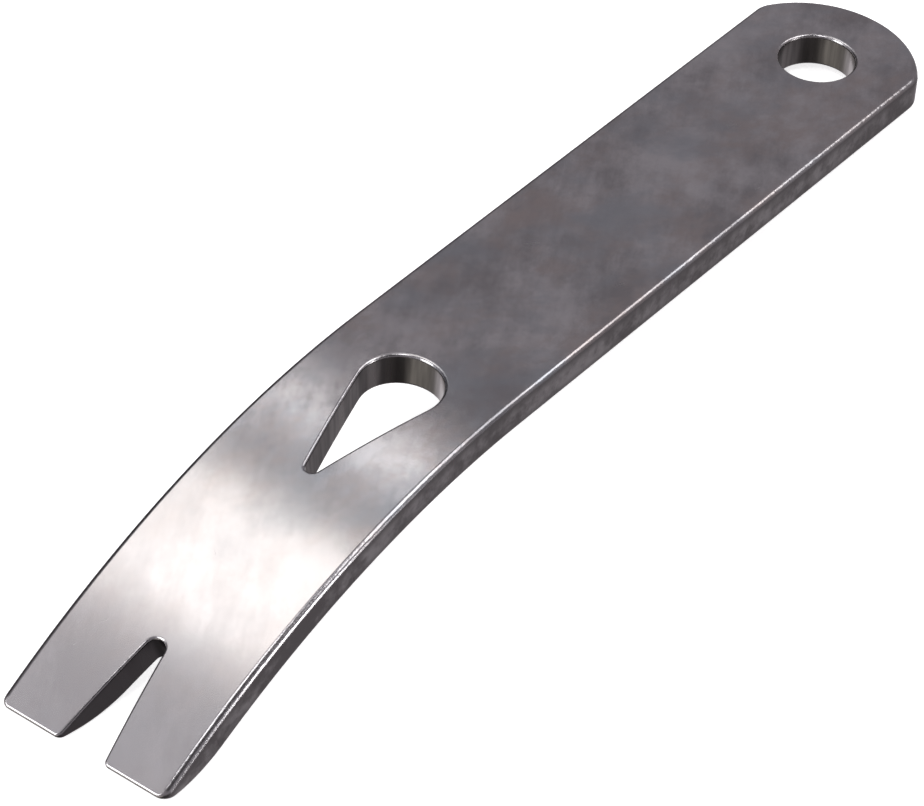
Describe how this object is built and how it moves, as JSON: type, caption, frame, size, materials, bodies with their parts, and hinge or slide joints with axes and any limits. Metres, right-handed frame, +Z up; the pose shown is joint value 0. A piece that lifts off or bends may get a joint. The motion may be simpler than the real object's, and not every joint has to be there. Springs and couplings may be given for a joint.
{
  "type": "pocket pry bar",
  "caption": "Flat steel pocket pry bar: handle with a lanyard hole, then an even bend with a teardrop nail hole and a forked claw on a rounded heel.",
  "frame": {"origin": "on the bench under the middle of the bar, as it lies arched side up", "axes": "+X along the bar towards the forked claw, +Y across its width, +Z up from the bench"},
  "size_m": [0.1025, 0.016, 0.009],
  "materials": {
    "tumbled_steel": "tumbled satin stainless steel, a little mottled, with brighter worn edges"
  },
  "bodies": {
    "root": {"pry_bar": "tumbled_steel"}
  },
  "joints": []
}
